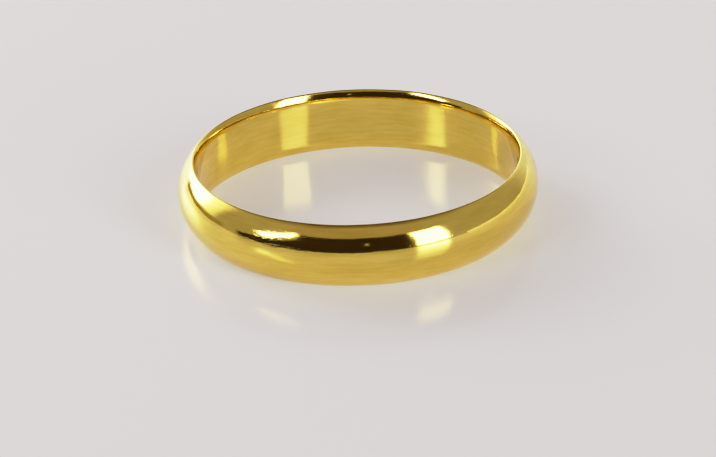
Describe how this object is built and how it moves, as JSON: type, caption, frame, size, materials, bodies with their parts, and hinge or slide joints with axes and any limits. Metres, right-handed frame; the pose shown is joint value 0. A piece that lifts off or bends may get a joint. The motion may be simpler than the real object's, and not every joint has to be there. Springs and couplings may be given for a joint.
{
  "type": "wedding band",
  "caption": "Plain polished gold finger ring with a D-shaped section, domed outside and straight inside, soldered at one butt joint.",
  "frame": {"origin": "centre of the finger hole, halfway between the two rims", "axes": "+Z along the ring's axis; the soldered joint faces +X"},
  "size_m": [0.0222, 0.0222, 0.004],
  "materials": {
    "gold_band": "high polish 18 ct yellow gold",
    "gold_solder": "polished gold solder, slightly paler than the band"
  },
  "bodies": {
    "root": {"band": "gold_band", "solder_seam": "gold_solder"}
  },
  "joints": []
}
